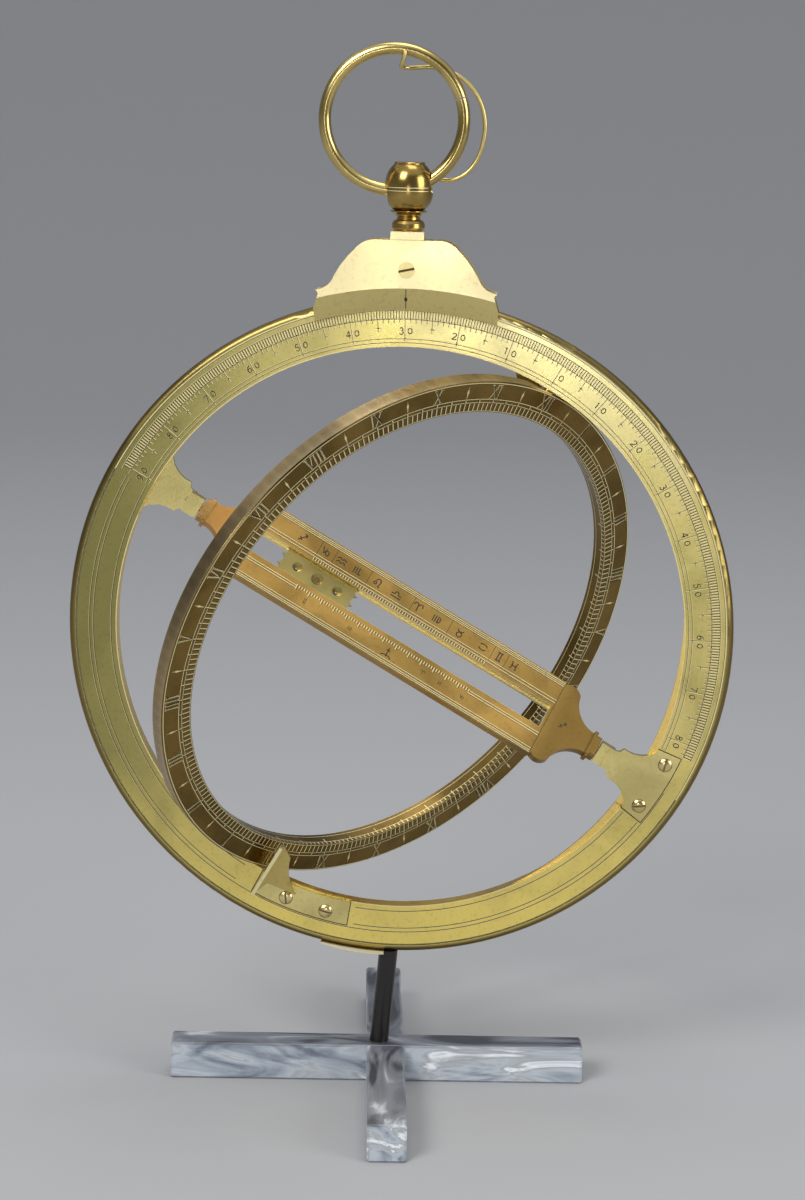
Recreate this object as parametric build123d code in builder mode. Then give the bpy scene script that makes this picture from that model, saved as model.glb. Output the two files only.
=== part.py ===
"""A universal equinoctial ring dial in brass, standing in the cradle of a small cross-shaped stand.

Frame: +Z up, the dial faces -Y, the origin is under the middle of the dial on the surface it stands on.
The dial is drawn in four face planes that share its centre: `dial` is level, the others are turned so
that their x axis points at a pole or at a pivot of the hour ring. In each, z is the distance in front
of (or, on the back planes, behind) the middle plane of the meridian ring.
"""
from build123d import *
import math
import os

os.makedirs("parts", exist_ok=True)

# ---------------------------------------------------------------- driving dimensions (mm, degrees)
CENTRE_Z = 161.0            # height of the dial's centre above the surface
LATITUDE = 30.0             # elevation of the polar axis, north pole up on the left
HOUR_OPENING = 45.9         # angle of the hour ring out of the meridian plane
BRIDGE_TILT = 38.0          # turn of the bridge about the polar axis, face upward

RING_R = 114.5              # meridian ring: outside, inside, thickness
RING_BORE_R = 97.8
RING_T = 6.0
RING_EDGE = 2.2             # rounding of its outer edges
RECESS = 2.0                # depth of the seats for the let-in brackets
SEAT_R = 106.9              # outer radius of those seats
PLATE_R = 106.7             # outer radius of the bracket plates
GAP = 0.15                  # gap round a let-in plate
LEDGE_R = 109.3             # eccentric ledge inside the ring at the south pole
LEDGE_MIN_R = 95.6
LEDGE_Z = (0.8, 2.0)

HOUR_R = 97.2               # hour ring: outside, inside, width, how far its face stands off the pivots
HOUR_BORE_R = 86.1
HOUR_W = 6.1
HOUR_FACE = 3.9
PIVOT_R = 1.2               # pivot pins of the hour ring
RUN = 0.05                  # radial clearance of the running fits

BLOCK_IN = 80.2             # pole brackets: bearing block from here to here along the polar axis
BLOCK_OUT = 85.4
SPINDLE_R = 1.25            # end spindles of the bridge

RAIL_END = 59.5             # bridge: half length of the rails, half width, thickness, slot
RAIL_HALF = 15.4
BRIDGE_T = 3.5
SLOT_END = 58.4
SLOT_HALF = 4.65
LIP_HALF = 4.15             # narrower back of the slot, and the height of the step
LIP_TOP = -0.55
CURSOR_X = -33.2            # where the cursor stands in the slot, towards the north pole
CURSOR_HALF = 15.0

CHEEK_T = 2.4               # suspension shackle: two cheeks on a spacer that rides on the ring's rim
CHEEK_IN = 3.1
CHEEK_BAND = (110.0, 117.5)
NECK_TOP = 136.4            # heights above the dial's centre from here on
BALL_Z = 150.6
BALL_R = 8.15
BALL_TOP = 158.5
EYE_R = 23.3                # suspension ring: centre line radius, wire radius, lean to the left
WIRE_R = 2.08
EYE_LEAN = 13.6

BAR = 13.0                  # stand: section of the two bars, lengths, yaw, foot and head of the rod
BAR_X = 145.0
BAR_Y = 166.0
STAND_YAW = 4.6
STAND_X = -1.8              # where the bars cross, and how far the long one reaches further to the left
BAR_SHIFT = -2.9
ROD_R = 3.3
ROD_FOOT_X = -4.0
ROD_HEAD_X = -1.3
CRADLE_R = 114.6            # cradle: floor radius and thickness, rise of front and back lips, section, ends
CRADLE_FLOOR = 0.8
CRADLE_RISE = (0.3, 2.4)
CRADLE_LIP = (3.15, 4.2)
CRADLE_ENDS = (257.4, 268.6)

# ---------------------------------------------------------------- planes
CENTRE = (0, 0, CENTRE_Z)
SOUTH = -LATITUDE
UPPER = 90 - LATITUDE
LOWER = UPPER + 180


def face_plane(angle, back=False):
    """Plane in the dial's middle, x axis at this angle from the right, z axis to the front or the back."""
    a = math.radians(angle)
    side = (0, 1, 0) if back else (0, -1, 0)
    return Plane(origin=CENTRE, x_dir=(math.cos(a), 0, math.sin(a)), z_dir=side)


dial = face_plane(0)
south = face_plane(SOUTH)
north_back = face_plane(180 + SOUTH, back=True)
lower_front = face_plane(LOWER)
upper_back = face_plane(UPPER, back=True)

to_viewer = Vector(0, -1, 0)
to_south = south.x_dir
to_pivot = south.y_dir


def leaning(lean, angle):
    """Direction that leaves the viewer's by this angle, towards the direction `lean`."""
    a = math.radians(angle)
    return to_viewer * math.cos(a) + lean * math.sin(a)


hour_plane = Plane(origin=CENTRE, x_dir=to_pivot, z_dir=leaning(to_south, HOUR_OPENING))
bridge_plane = Plane(origin=CENTRE, x_dir=to_south, z_dir=leaning(to_pivot, BRIDGE_TILT))


def across(plane, offset):
    """Plane square to another's x axis, this far out along it."""
    start = plane.origin + plane.x_dir * offset
    return Plane(origin=start, x_dir=plane.y_dir, z_dir=plane.x_dir)


def polar(radius, angle):
    a = math.radians(angle)
    return (radius * math.cos(a), radius * math.sin(a))


def sector(r_in, r_out, start, end):
    """Outline of a piece of an annulus, drawn in the current BuildLine."""
    CenterArc((0, 0), r_out, start, end - start)
    CenterArc((0, 0), r_in, start, end - start)
    Line(polar(r_in, start), polar(r_out, start))
    Line(polar(r_in, end), polar(r_out, end))


def slotted_screw(head_r, dome, slot_w, slot_depth, shank_r, length):
    """Domed slotted screw as a loose solid: head above z = 0, shank below."""
    with BuildPart() as screw:
        with BuildSketch(Plane.XZ):
            with BuildLine():
                Polyline((0, dome), (0, -length), (shank_r, -length), (shank_r, 0), (head_r, 0))
                ThreePointArc((head_r, 0), (head_r * 0.72, dome * 0.68), (0, dome))
            make_face()
        revolve(axis=Axis.Z)
        with Locations((0, 0, dome)):
            Box(2.4 * head_r, slot_w, 2 * slot_depth, mode=Mode.SUBTRACT)
    return screw.part


# ---------------------------------------------------------------- meridian ring
SEAT_HALF = 7.15            # half angle of a pole bracket's seat
STOP_START = (2.2, 1.2)     # angles of the front and back stop brackets' seats from their pivots
STOP_END = 21.4
POLE_SCREWS = (102.7, 4.75)  # radius and angle of the screws, from the pole and from the pivot
STOP_SCREWS = (103.5, (8.7, 16.8))
SCREW_SHANK = 1.2

with BuildPart() as meridian_ring:
    with BuildSketch(dial.offset(-RING_T / 2)):
        Circle(RING_R)
        Circle(RING_BORE_R, mode=Mode.SUBTRACT)
    extrude(amount=RING_T)
    outer_edges = meridian_ring.edges().filter_by(GeomType.CIRCLE).group_by(SortBy.RADIUS)[-1]
    fillet(outer_edges, RING_EDGE)
    # ledge round the south pole: what an eccentric circle leaves inside the bore
    with BuildSketch(south.offset(LEDGE_Z[0])):
        Circle(RING_BORE_R + 0.2)
        with Locations((LEDGE_MIN_R - LEDGE_R, 0)):
            Circle(LEDGE_R, mode=Mode.SUBTRACT)
    extrude(amount=LEDGE_Z[1] - LEDGE_Z[0])
    # seats of the four brackets, screw holes and pivot holes
    for plane in (south, north_back):
        with BuildSketch(plane.offset(RING_T / 2)):
            with BuildLine():
                sector(RING_BORE_R - 4, SEAT_R, -SEAT_HALF, SEAT_HALF)
            make_face()
        extrude(amount=-RECESS, mode=Mode.SUBTRACT)
        with BuildSketch(plane.offset(RING_T / 2 - RECESS)):
            with Locations([polar(POLE_SCREWS[0], s * POLE_SCREWS[1]) for s in (-1, 1)]):
                Circle(SCREW_SHANK + RUN)
        extrude(amount=-3.2, mode=Mode.SUBTRACT)
    for plane, side, start in ((lower_front, 1, STOP_START[0]), (upper_back, -1, STOP_START[1])):
        with BuildSketch(plane.offset(RING_T / 2)):
            with BuildLine():
                sector(RING_BORE_R - 4, SEAT_R, side * start, side * STOP_END)
            make_face()
        extrude(amount=-RECESS, mode=Mode.SUBTRACT)
        with BuildSketch(plane.offset(RING_T / 2 - RECESS)):
            with Locations([polar(STOP_SCREWS[0], side * a) for a in STOP_SCREWS[1]]):
                Circle(SCREW_SHANK + RUN)
        extrude(amount=-3.2, mode=Mode.SUBTRACT)
        with BuildSketch(across(plane, 0)):
            Circle(PIVOT_R)
        extrude(amount=RING_R + 1, mode=Mode.SUBTRACT)
meridian_ring.part.label = "meridian_ring"
export_step(meridian_ring.part, "parts/meridian_ring.step")


# ---------------------------------------------------------------- pole brackets
def pole_bracket(plane):
    """Scalloped plate let into the ring's face, with the bearing block of the bridge's spindle."""
    corner = polar(98.4, SEAT_HALF - 0.15)
    with BuildPart() as bracket:
        with BuildSketch(plane.offset(RING_T / 2 - RECESS)):
            with BuildLine():
                CenterArc((0, 0), PLATE_R, -SEAT_HALF + 0.1, 2 * SEAT_HALF - 0.2)
                for s in (-1, 1):
                    Line(polar(PLATE_R, s * (SEAT_HALF - 0.1)), (corner[0], s * corner[1]))
                    Line((corner[0], s * corner[1]), (97.2, s * 10.2))
                    ThreePointArc((97.2, s * 10.2), (93.4, s * 6.9), (87.6, s * 5.9))
                    Line((87.6, s * 5.9), (86.9, s * 4.6))
                    ThreePointArc((86.9, s * 4.6), (86.0, s * 3.95), (84.9, s * 3.8))
                    Line((84.9, s * 3.8), (83.4, s * 3.8))
                Line((83.4, -3.8), (83.4, 3.8))
            make_face()
        extrude(amount=RECESS - 0.05)
        with BuildSketch(plane.offset(-2.2)):
            with Locations(((BLOCK_IN + BLOCK_OUT) / 2, 0)):
                Rectangle(BLOCK_OUT - BLOCK_IN, 7.4)
        extrude(amount=4.3)
        with BuildSketch(across(plane, BLOCK_IN - 1)):
            Circle(SPINDLE_R + RUN)
        extrude(amount=BLOCK_OUT - BLOCK_IN + 2, mode=Mode.SUBTRACT)
        with BuildSketch(plane.offset(RING_T / 2)):
            with Locations([polar(POLE_SCREWS[0], s * POLE_SCREWS[1]) for s in (-1, 1)]):
                Circle(SCREW_SHANK + RUN)
        extrude(amount=-RECESS - 0.1, mode=Mode.SUBTRACT)
    return bracket.part


for name, plane in (("south_pole_bracket", south), ("north_pole_bracket", north_back)):
    piece = pole_bracket(plane)
    piece.label = name
    export_step(piece, f"parts/{name}.step")

# ---------------------------------------------------------------- stop brackets
TAB_T = 1.2                 # the stop tab: thickness, top and foot in front of the ring's middle plane
TAB_TOP = 9.6
WEB_Z = (4.5, 5.9)          # web that ties the tab to the foot, clear of the folded hour ring


def stop_bracket(plane, side, face, start):
    """Foot let into the ring's face, and a tab standing across the hour ring that stops it when open."""
    with BuildPart() as bracket:
        with BuildSketch(plane.offset(RING_T / 2 - RECESS)):
            with BuildLine():
                sector(98.3, PLATE_R, side * (start + 0.1), side * (STOP_END - 0.1))
            make_face()
        extrude(amount=RECESS - 0.05)
        with BuildSketch(plane.offset(2.5)):
            with BuildLine():
                near = side * face
                far = side * (face + 7.5)
                Polyline((86.0, near), (PLATE_R - 1.2, near), (PLATE_R - 1.2, near + side * TAB_T),
                         (100.4, near + side * 3.1), (98.8, far + side * 6), (98.3, far + side * 5.2))
                ThreePointArc((98.3, far + side * 5.2), (94.2, far + side * 0.6), (88.4, near + side * 5.4))
                Line((88.4, near + side * 5.4), (86.0, near + side * 1.4))
                Line((86.0, near + side * 1.4), (86.0, near))
            make_face()
        extrude(amount=WEB_Z[1] - 2.5)
        with BuildSketch(plane.offset(2.4)):
            Circle(98.2)
        extrude(amount=WEB_Z[0] - 2.4, mode=Mode.SUBTRACT)
        with BuildSketch(plane.offset(WEB_Z[0])):
            with Locations(((86.0 + PLATE_R - 1.2) / 2, side * (face + TAB_T / 2))):
                Rectangle(PLATE_R - 1.2 - 86.0, TAB_T)
        extrude(amount=TAB_TOP - WEB_Z[0])
        with BuildSketch(plane.offset(TAB_TOP + 1)):
            with Locations([polar(STOP_SCREWS[0], side * a) for a in STOP_SCREWS[1]]):
                Circle(SCREW_SHANK + RUN)
        extrude(amount=-10.2, mode=Mode.SUBTRACT)
    return bracket.part


for name, plane, side, face, start in (
    ("front_stop_bracket", lower_front, 1, HOUR_FACE + 0.35, STOP_START[0]),
    ("back_stop_bracket", upper_back, -1, HOUR_W - HOUR_FACE + 0.35, STOP_START[1]),
):
    piece = stop_bracket(plane, side, face, start)
    piece.label = name
    export_step(piece, f"parts/{name}.step")

# ---------------------------------------------------------------- bracket screws and pivot pins
bracket_screw = slotted_screw(2.45, 0.7, 0.7, 0.55, SCREW_SHANK, 4.6)
screw_z = RING_T / 2 - 0.05
groups = (
    ("pole_bracket_screws", [(p, polar(POLE_SCREWS[0], s * POLE_SCREWS[1]))
                             for p in (south, north_back) for s in (-1, 1)]),
    ("stop_bracket_screws", [(p, polar(STOP_SCREWS[0], s * a))
                             for p, s in ((lower_front, 1), (upper_back, -1)) for a in STOP_SCREWS[1]]),
)
for name, places in groups:
    solids = []
    for number, (plane, (x, y)) in enumerate(places):
        turn = 35 + 70 * number
        seat = plane.location * Location((x, y, screw_z), (0, 0, turn))
        solids.append(bracket_screw.moved(seat))
    group = Compound(label=name, children=solids)
    export_step(group, f"parts/{name}.step")

PIN_IN = HOUR_BORE_R + 3.0
PIN_OUT = RING_R - 0.8
pins = []
for plane in (lower_front, upper_back):
    with BuildPart() as pin:
        with BuildSketch(across(plane, PIN_IN)):
            Circle(PIVOT_R)
        extrude(amount=PIN_OUT - PIN_IN)
    pins.append(pin.part)
hour_ring_pivots = Compound(label="hour_ring_pivots", children=pins)
export_step(hour_ring_pivots, "parts/hour_ring_pivots.step")

# ---------------------------------------------------------------- hour ring
with BuildPart() as hour_ring:
    with BuildSketch(hour_plane.offset(HOUR_FACE - HOUR_W)):
        Circle(HOUR_R)
        Circle(HOUR_BORE_R, mode=Mode.SUBTRACT)
    extrude(amount=HOUR_W)
    rims = hour_ring.edges().filter_by(GeomType.CIRCLE).group_by(SortBy.RADIUS)[-1]
    chamfer(rims, 0.4)
    for plane in (lower_front, upper_back):
        with BuildSketch(across(plane, PIN_IN - 0.3)):
            Circle(PIVOT_R + RUN)
        extrude(amount=HOUR_R - PIN_IN + 1, mode=Mode.SUBTRACT)
hour_ring.part.label = "hour_ring"
export_step(hour_ring.part, "parts/hour_ring.step")

# ---------------------------------------------------------------- bridge
BEAD = (76.4, 79.7, 5.3)    # bead at each end: from, to, half width
with BuildPart() as bridge:
    with BuildSketch(bridge_plane.offset(-BRIDGE_T / 2)):
        Rectangle(2 * RAIL_END, 2 * RAIL_HALF)
        for s in (-1, 1):
            with BuildLine():
                for t in (-1, 1):
                    Line((s * (RAIL_END - 0.1), t * 14.8), (s * (RAIL_END + 0.6), t * 14.8))
                    ThreePointArc((s * (RAIL_END + 0.6), t * 14.8), (s * 63.2, t * 15.5),
                                  (s * 66.2, t * 13.5))
                    ThreePointArc((s * 66.2, t * 13.5), (s * 68.6, t * 7.9), (s * 75.0, t * 4.2))
                    Line((s * 75.0, t * 4.2), (s * (BEAD[0] + 0.1), t * 4.2))
                Line((s * (RAIL_END - 0.1), -14.8), (s * (RAIL_END - 0.1), 14.8))
                Line((s * (BEAD[0] + 0.1), -4.2), (s * (BEAD[0] + 0.1), 4.2))
            make_face()
        Rectangle(2 * SLOT_END, 2 * LIP_HALF, mode=Mode.SUBTRACT)
    extrude(amount=BRIDGE_T)
    with BuildSketch(bridge_plane.offset(LIP_TOP)):
        Rectangle(2 * SLOT_END, 2 * SLOT_HALF)
    extrude(amount=BRIDGE_T, mode=Mode.SUBTRACT)
bridge.part.label = "bridge"
export_step(bridge.part, "parts/bridge.step")

spindles = []
for s in (-1, 1):
    tip = Plane(origin=bridge_plane.origin, x_dir=bridge_plane.y_dir, z_dir=bridge_plane.x_dir * s)
    with BuildPart() as spindle:
        with BuildSketch(tip.offset(BEAD[0] + 0.1)):
            RectangleRounded(2 * BEAD[2], 5.2, 1.2)
        extrude(amount=1.2)
        with BuildSketch(tip.offset(BEAD[0] + 1.3)):
            RectangleRounded(2 * BEAD[2] - 2.2, 4.2, 1.0)
        extrude(amount=BEAD[1] - BEAD[0] - 1.3)
        with BuildSketch(tip.offset(BEAD[1] - 0.1)):
            Circle(SPINDLE_R)
        extrude(amount=BLOCK_OUT - 0.4 - BEAD[1] + 0.1)
    spindles.append(spindle.part)
bridge_spindles = Compound(label="bridge_spindles", children=spindles)
export_step(bridge_spindles, "parts/bridge_spindles.step")

# ---------------------------------------------------------------- cursor in the bridge's slot
CURSOR_T = 0.8
CURSOR_BASE = LIP_TOP + 0.05
CURSOR_HALF_W = SLOT_HALF - 0.1
NECK_BASE = -BRIDGE_T / 2 - 0.05
BACK_T = 1.0
PINHOLES = 8.0
pinholes = [(CURSOR_X + s * PINHOLES, 0) for s in (-1, 1)]
with BuildPart() as cursor_plate:
    with BuildSketch(bridge_plane.offset(CURSOR_BASE)):
        with Locations((CURSOR_X, 0)):
            Rectangle(2 * CURSOR_HALF - 4.4, 2 * CURSOR_HALF_W)
        for s in (-1, 1):
            end = CURSOR_X + s * (CURSOR_HALF - 2.3)
            with BuildLine():
                for t in (-1, 1):
                    Line((end, t * CURSOR_HALF_W), (end + s * 1.6, t * CURSOR_HALF_W))
                    ThreePointArc((end + s * 1.6, t * CURSOR_HALF_W), (end + s * 0.9, t * 3.2),
                                  (end + s * 2.3, t * 2.0))
                ThreePointArc((end + s * 2.3, -2.0), (end + s * 0.9, 0), (end + s * 2.3, 2.0))
                Line((end, -CURSOR_HALF_W), (end, CURSOR_HALF_W))
            make_face()
    extrude(amount=CURSOR_T)
    with BuildSketch(bridge_plane.offset(NECK_BASE)):
        with Locations((CURSOR_X, 0)):
            Rectangle(2 * CURSOR_HALF - 8, 2 * LIP_HALF - 0.16)
    extrude(amount=CURSOR_BASE - NECK_BASE)
    with BuildSketch(bridge_plane.offset(NECK_BASE)):
        with Locations(pinholes):
            Circle(0.55)
        with Locations((CURSOR_X, 0)):
            Circle(1.25)
    extrude(amount=5, mode=Mode.SUBTRACT)
    for x, rim, depth in ((pinholes[0][0], 1.8, 1.25), (pinholes[1][0], 1.8, 1.25), (CURSOR_X, 2.2, 0.8)):
        with BuildSketch(bridge_plane.offset(CURSOR_BASE + CURSOR_T)):
            with Locations((x, 0)):
                Circle(rim)
        extrude(amount=-depth, taper=45, mode=Mode.SUBTRACT)
cursor_plate.part.label = "cursor_plate"
export_step(cursor_plate.part, "parts/cursor_plate.step")

with BuildPart() as cursor_back_plate:
    with BuildSketch(bridge_plane.offset(NECK_BASE - BACK_T)):
        with Locations((CURSOR_X, 0)):
            Rectangle(2 * CURSOR_HALF - 6, 2 * LIP_HALF + 2.6)
            Circle(1.25, mode=Mode.SUBTRACT)
        with Locations(pinholes):
            Circle(1.4, mode=Mode.SUBTRACT)
    extrude(amount=BACK_T)
cursor_back_plate.part.label = "cursor_back_plate"
export_step(cursor_back_plate.part, "parts/cursor_back_plate.step")

cursor_screw = slotted_screw(2.0, 0.6, 0.5, 0.4, 1.2, CURSOR_BASE - NECK_BASE + BACK_T)
behind = bridge_plane.location * Location((CURSOR_X, 0, NECK_BASE - BACK_T), (180, 0, 25))
cursor_screw = cursor_screw.moved(behind)
cursor_screw.label = "cursor_screw"
export_step(cursor_screw, "parts/cursor_screw.step")


# ---------------------------------------------------------------- suspension shackle
def bell_outline(inset):
    """Half outlines of a cheek, mirrored: ogee shoulders over an arc that follows the ring."""
    low = polar(CHEEK_BAND[0] + inset, 90 - 16.2)
    for s in (-1, 1):
        def at(x, y):
            return (s * (x - inset), y - inset)
        foot = (s * (low[0] - inset), low[1])
        Polyline(foot, at(31.2, 109.9), at(29.6, 115.2), at(30.6, 116.4))
        ThreePointArc(at(30.6, 116.4), at(27.4, 117.4), at(24.6, 120.6))
        ThreePointArc(at(24.6, 120.6), at(21.6, 125.6), at(17.6, 130.2))
        ThreePointArc(at(17.6, 130.2), at(14.6, 132.7), at(10.2, 133.6))
        Line(at(10.2, 133.6), (s * 5.6, 133.6 - inset))
    ThreePointArc((-(low[0] - inset), low[1]), (0, CHEEK_BAND[0] + inset), (low[0] - inset, low[1]))
    Line((-5.6, 133.6 - inset), (5.6, 133.6 - inset))


SHACKLE_SCREW_Z = 123.6
SHACKLE_SCREW_R = 1.5
SCREW_HEAD_R = 2.7
HEAD_DEPTH = 1.2


def cheek(side):
    """One cheek, with the lower band bevelled back towards the ring; side is 1 at the front."""
    front = CHEEK_IN + CHEEK_T
    low, high = CHEEK_BAND
    plane = dial if side > 0 else Plane(origin=CENTRE, x_dir=(-1, 0, 0), z_dir=(0, 1, 0))
    with BuildPart() as piece:
        with BuildSketch(plane.offset(CHEEK_IN)):
            with BuildLine():
                bell_outline(0)
            make_face()
            with Locations((0, SHACKLE_SCREW_Z)):
                Circle(SHACKLE_SCREW_R + (RUN if side > 0 else 0), mode=Mode.SUBTRACT)
        extrude(amount=CHEEK_T)
        with BuildSketch(Plane(origin=CENTRE, x_dir=(0, 0, 1), z_dir=(1, 0, 0))):
            with BuildLine():
                Polyline((high, side * front), (high, side * (front + 1)), (low - 3, side * (front + 1)),
                         (low - 3, side * (front - 1.3)), (low, side * (front - 1.3)), close=True)
            make_face()
        revolve(axis=Axis(CENTRE, (0, 1, 0)), mode=Mode.SUBTRACT)
        if side > 0:
            with BuildSketch(plane.offset(front)):
                with Locations((0, SHACKLE_SCREW_Z)):
                    Circle(SCREW_HEAD_R + RUN)
            extrude(amount=-HEAD_DEPTH, mode=Mode.SUBTRACT)
    return piece.part


for name, side in (("shackle_front_cheek", 1), ("shackle_back_cheek", -1)):
    piece = cheek(side)
    piece.label = name
    export_step(piece, f"parts/{name}.step")

STEM_R = 1.8
COLLAR = (2.9, 127.6, 129.0)    # riveted end of the swivel's stem: radius, from, to
SPRING_T = 0.45
SEAT = RING_R + RUN + SPRING_T
with BuildPart() as shackle_spacer:
    with BuildSketch(dial.offset(-CHEEK_IN)):
        with BuildLine():
            CenterArc((0, 0), SEAT, 77, 26)
            Line(polar(SEAT, 77), (20.5, 118.5))
            ThreePointArc((20.5, 118.5), (16.5, 127.5), (9.5, 132.2))
            Polyline((9.5, 132.2), (5.6, 132.2), (5.6, NECK_TOP), (-5.6, NECK_TOP), (-5.6, 132.2),
                     (-9.5, 132.2))
            ThreePointArc((-9.5, 132.2), (-16.5, 127.5), (-20.5, 118.5))
            Line((-20.5, 118.5), polar(SEAT, 103))
        make_face()
        with Locations((0, (COLLAR[1] + COLLAR[2]) / 2)):
            Rectangle(7.0, COLLAR[2] - COLLAR[1] + 0.8, mode=Mode.SUBTRACT)
    extrude(amount=2 * CHEEK_IN)
    with BuildSketch(Plane.XY.offset(CENTRE_Z + 133.7)):
        Rectangle(11.2, 10.8)
    extrude(amount=NECK_TOP - 133.7)
    with BuildSketch(Plane.XY.offset(CENTRE_Z + NECK_TOP)):
        Circle(STEM_R + RUN)
    extrude(amount=-(NECK_TOP - COLLAR[2]), mode=Mode.SUBTRACT)
    with BuildSketch(dial.offset(-CHEEK_IN)):
        with Locations((0, SHACKLE_SCREW_Z)):
            Circle(SHACKLE_SCREW_R + RUN)
    extrude(amount=2 * CHEEK_IN, mode=Mode.SUBTRACT)
shackle_spacer.part.label = "shackle_spacer"
export_step(shackle_spacer.part, "parts/shackle_spacer.step")

# leaf spring that presses on the meridian ring's rim
with BuildPart() as shackle_spring:
    with BuildSketch(dial.offset(-2.0)):
        with BuildLine():
            sector(RING_R + RUN, SEAT, 79, 101)
        make_face()
    extrude(amount=4.0)
shackle_spring.part.label = "shackle_spring"
export_step(shackle_spring.part, "parts/shackle_spring.step")

front = CHEEK_IN + CHEEK_T
with BuildPart() as shackle_screw:
    with BuildSketch(dial.offset(-front)):
        with Locations((0, SHACKLE_SCREW_Z)):
            Circle(SHACKLE_SCREW_R)
    extrude(amount=2 * front - HEAD_DEPTH)
    with BuildSketch(dial.offset(front - HEAD_DEPTH)):
        with Locations((0, SHACKLE_SCREW_Z)):
            Circle(SCREW_HEAD_R)
    extrude(amount=HEAD_DEPTH + 0.1)
    with BuildSketch(dial.offset(front + 0.1)):
        with Locations(Location((0, SHACKLE_SCREW_Z), 12)):
            Rectangle(2 * SCREW_HEAD_R + 1, 0.8)
    extrude(amount=-0.8, mode=Mode.SUBTRACT)
shackle_screw.part.label = "shackle_screw"
export_step(shackle_screw.part, "parts/shackle_screw.step")

# ---------------------------------------------------------------- swivel
FOOT_BASE = NECK_TOP + 0.3
WAIST_TOP = 143.2
STEM_TOP = 146.2
profile = Plane(origin=CENTRE, x_dir=(1, 0, 0), z_dir=(0, -1, 0))
upright = Axis(CENTRE, (0, 0, 1))

with BuildPart() as swivel_foot:
    with BuildSketch(profile):
        with BuildLine():
            Polyline((0, FOOT_BASE), (4.9, FOOT_BASE), (5.6, FOOT_BASE + 0.9), (5.5, FOOT_BASE + 2.2),
                     (5.0, FOOT_BASE + 3.1), (4.0, FOOT_BASE + 3.6), (3.9, FOOT_BASE + 4.3),
                     (4.6, WAIST_TOP - 1.2), (6.2, WAIST_TOP - 0.3), (6.2, WAIST_TOP), (0, WAIST_TOP),
                     close=True)
        make_face()
    revolve(axis=upright)
    with BuildSketch(Plane.XY.offset(CENTRE_Z + FOOT_BASE)):
        Circle(STEM_R)
    extrude(amount=WAIST_TOP - FOOT_BASE, mode=Mode.SUBTRACT)
swivel_foot.part.label = "swivel_foot"
export_step(swivel_foot.part, "parts/swivel_foot.step")

with BuildPart() as swivel_stem:
    with BuildSketch(profile):
        with BuildLine():
            Polyline((0, COLLAR[1]), (COLLAR[0] - 0.5, COLLAR[1]), (COLLAR[0], COLLAR[1] + 0.5),
                     (COLLAR[0], COLLAR[2]), (STEM_R, COLLAR[2]), (STEM_R, STEM_TOP), (0, STEM_TOP),
                     close=True)
        make_face()
    revolve(axis=upright)
swivel_stem.part.label = "swivel_stem"
export_step(swivel_stem.part, "parts/swivel_stem.step")

EYE_TILT = math.radians(EYE_LEAN)
eye_along = Vector(math.cos(EYE_TILT), 0, math.sin(EYE_TILT))
ball_hole = Plane(origin=(0, 0, CENTRE_Z + BALL_Z), x_dir=(-math.sin(EYE_TILT), 0, math.cos(EYE_TILT)),
                  z_dir=(0, -1, 0))
with BuildPart() as swivel_ball:
    with BuildSketch(profile):
        with BuildLine():
            Spline((4.6, WAIST_TOP), (6.6, 144.7), (7.7, 147.0), (BALL_R, BALL_Z), (7.9, 153.8), (7.1, 156.2),
                   (5.3, BALL_TOP))
            Polyline((5.3, BALL_TOP), (0, BALL_TOP), (0, WAIST_TOP), (4.6, WAIST_TOP))
        make_face()
    revolve(axis=upright)
    with BuildSketch(Plane.XY.offset(CENTRE_Z + BALL_Z - 10)):
        Circle(STEM_R)
    extrude(amount=STEM_TOP + 10 - BALL_Z, mode=Mode.SUBTRACT)
    with BuildSketch(profile):
        with Locations((BALL_R, BALL_Z + 0.35), (BALL_R, BALL_Z - 0.75)):
            Rectangle(0.5, 0.35)
    revolve(axis=upright, mode=Mode.SUBTRACT)
    with BuildSketch(ball_hole):
        with BuildLine():
            Polyline((0, -9.5), (4.4, -9.5), (2.35, -2.5), (2.35, 2.5), (4.4, 9.5), (0, 9.5), close=True)
        make_face()
    revolve(axis=Axis((0, 0, CENTRE_Z + BALL_Z), eye_along), mode=Mode.SUBTRACT)
swivel_ball.part.label = "swivel_ball"
export_step(swivel_ball.part, "parts/swivel_ball.step")

with BuildPart() as swivel_cap:
    with BuildSketch(Plane.XY.offset(CENTRE_Z + BALL_TOP)):
        Circle(5.2)
    extrude(amount=0.8)
    chamfer(swivel_cap.edges().group_by(Axis.Z)[-1], length=0.3)
swivel_cap.part.label = "swivel_cap"
export_step(swivel_cap.part, "parts/swivel_cap.step")

# ---------------------------------------------------------------- suspension ring and its prop wire
EYE_X = -EYE_R * math.sin(EYE_TILT)
EYE_Z = CENTRE_Z + BALL_Z + EYE_R * math.cos(EYE_TILT)
SEAM = math.radians(18)
seam_plane = Plane(origin=(EYE_X, 0, EYE_Z), x_dir=(math.cos(SEAM), 0, math.sin(SEAM)),
                   z_dir=(-math.sin(SEAM), 0, math.cos(SEAM)))
with BuildPart() as suspension_ring:
    with BuildSketch(seam_plane):
        with Locations((EYE_R, 0)):
            Circle(WIRE_R)
    revolve(axis=Axis((EYE_X, 0, EYE_Z), (0, 1, 0)), revolution_arc=359)
suspension_ring.part.label = "suspension_ring"

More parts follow.
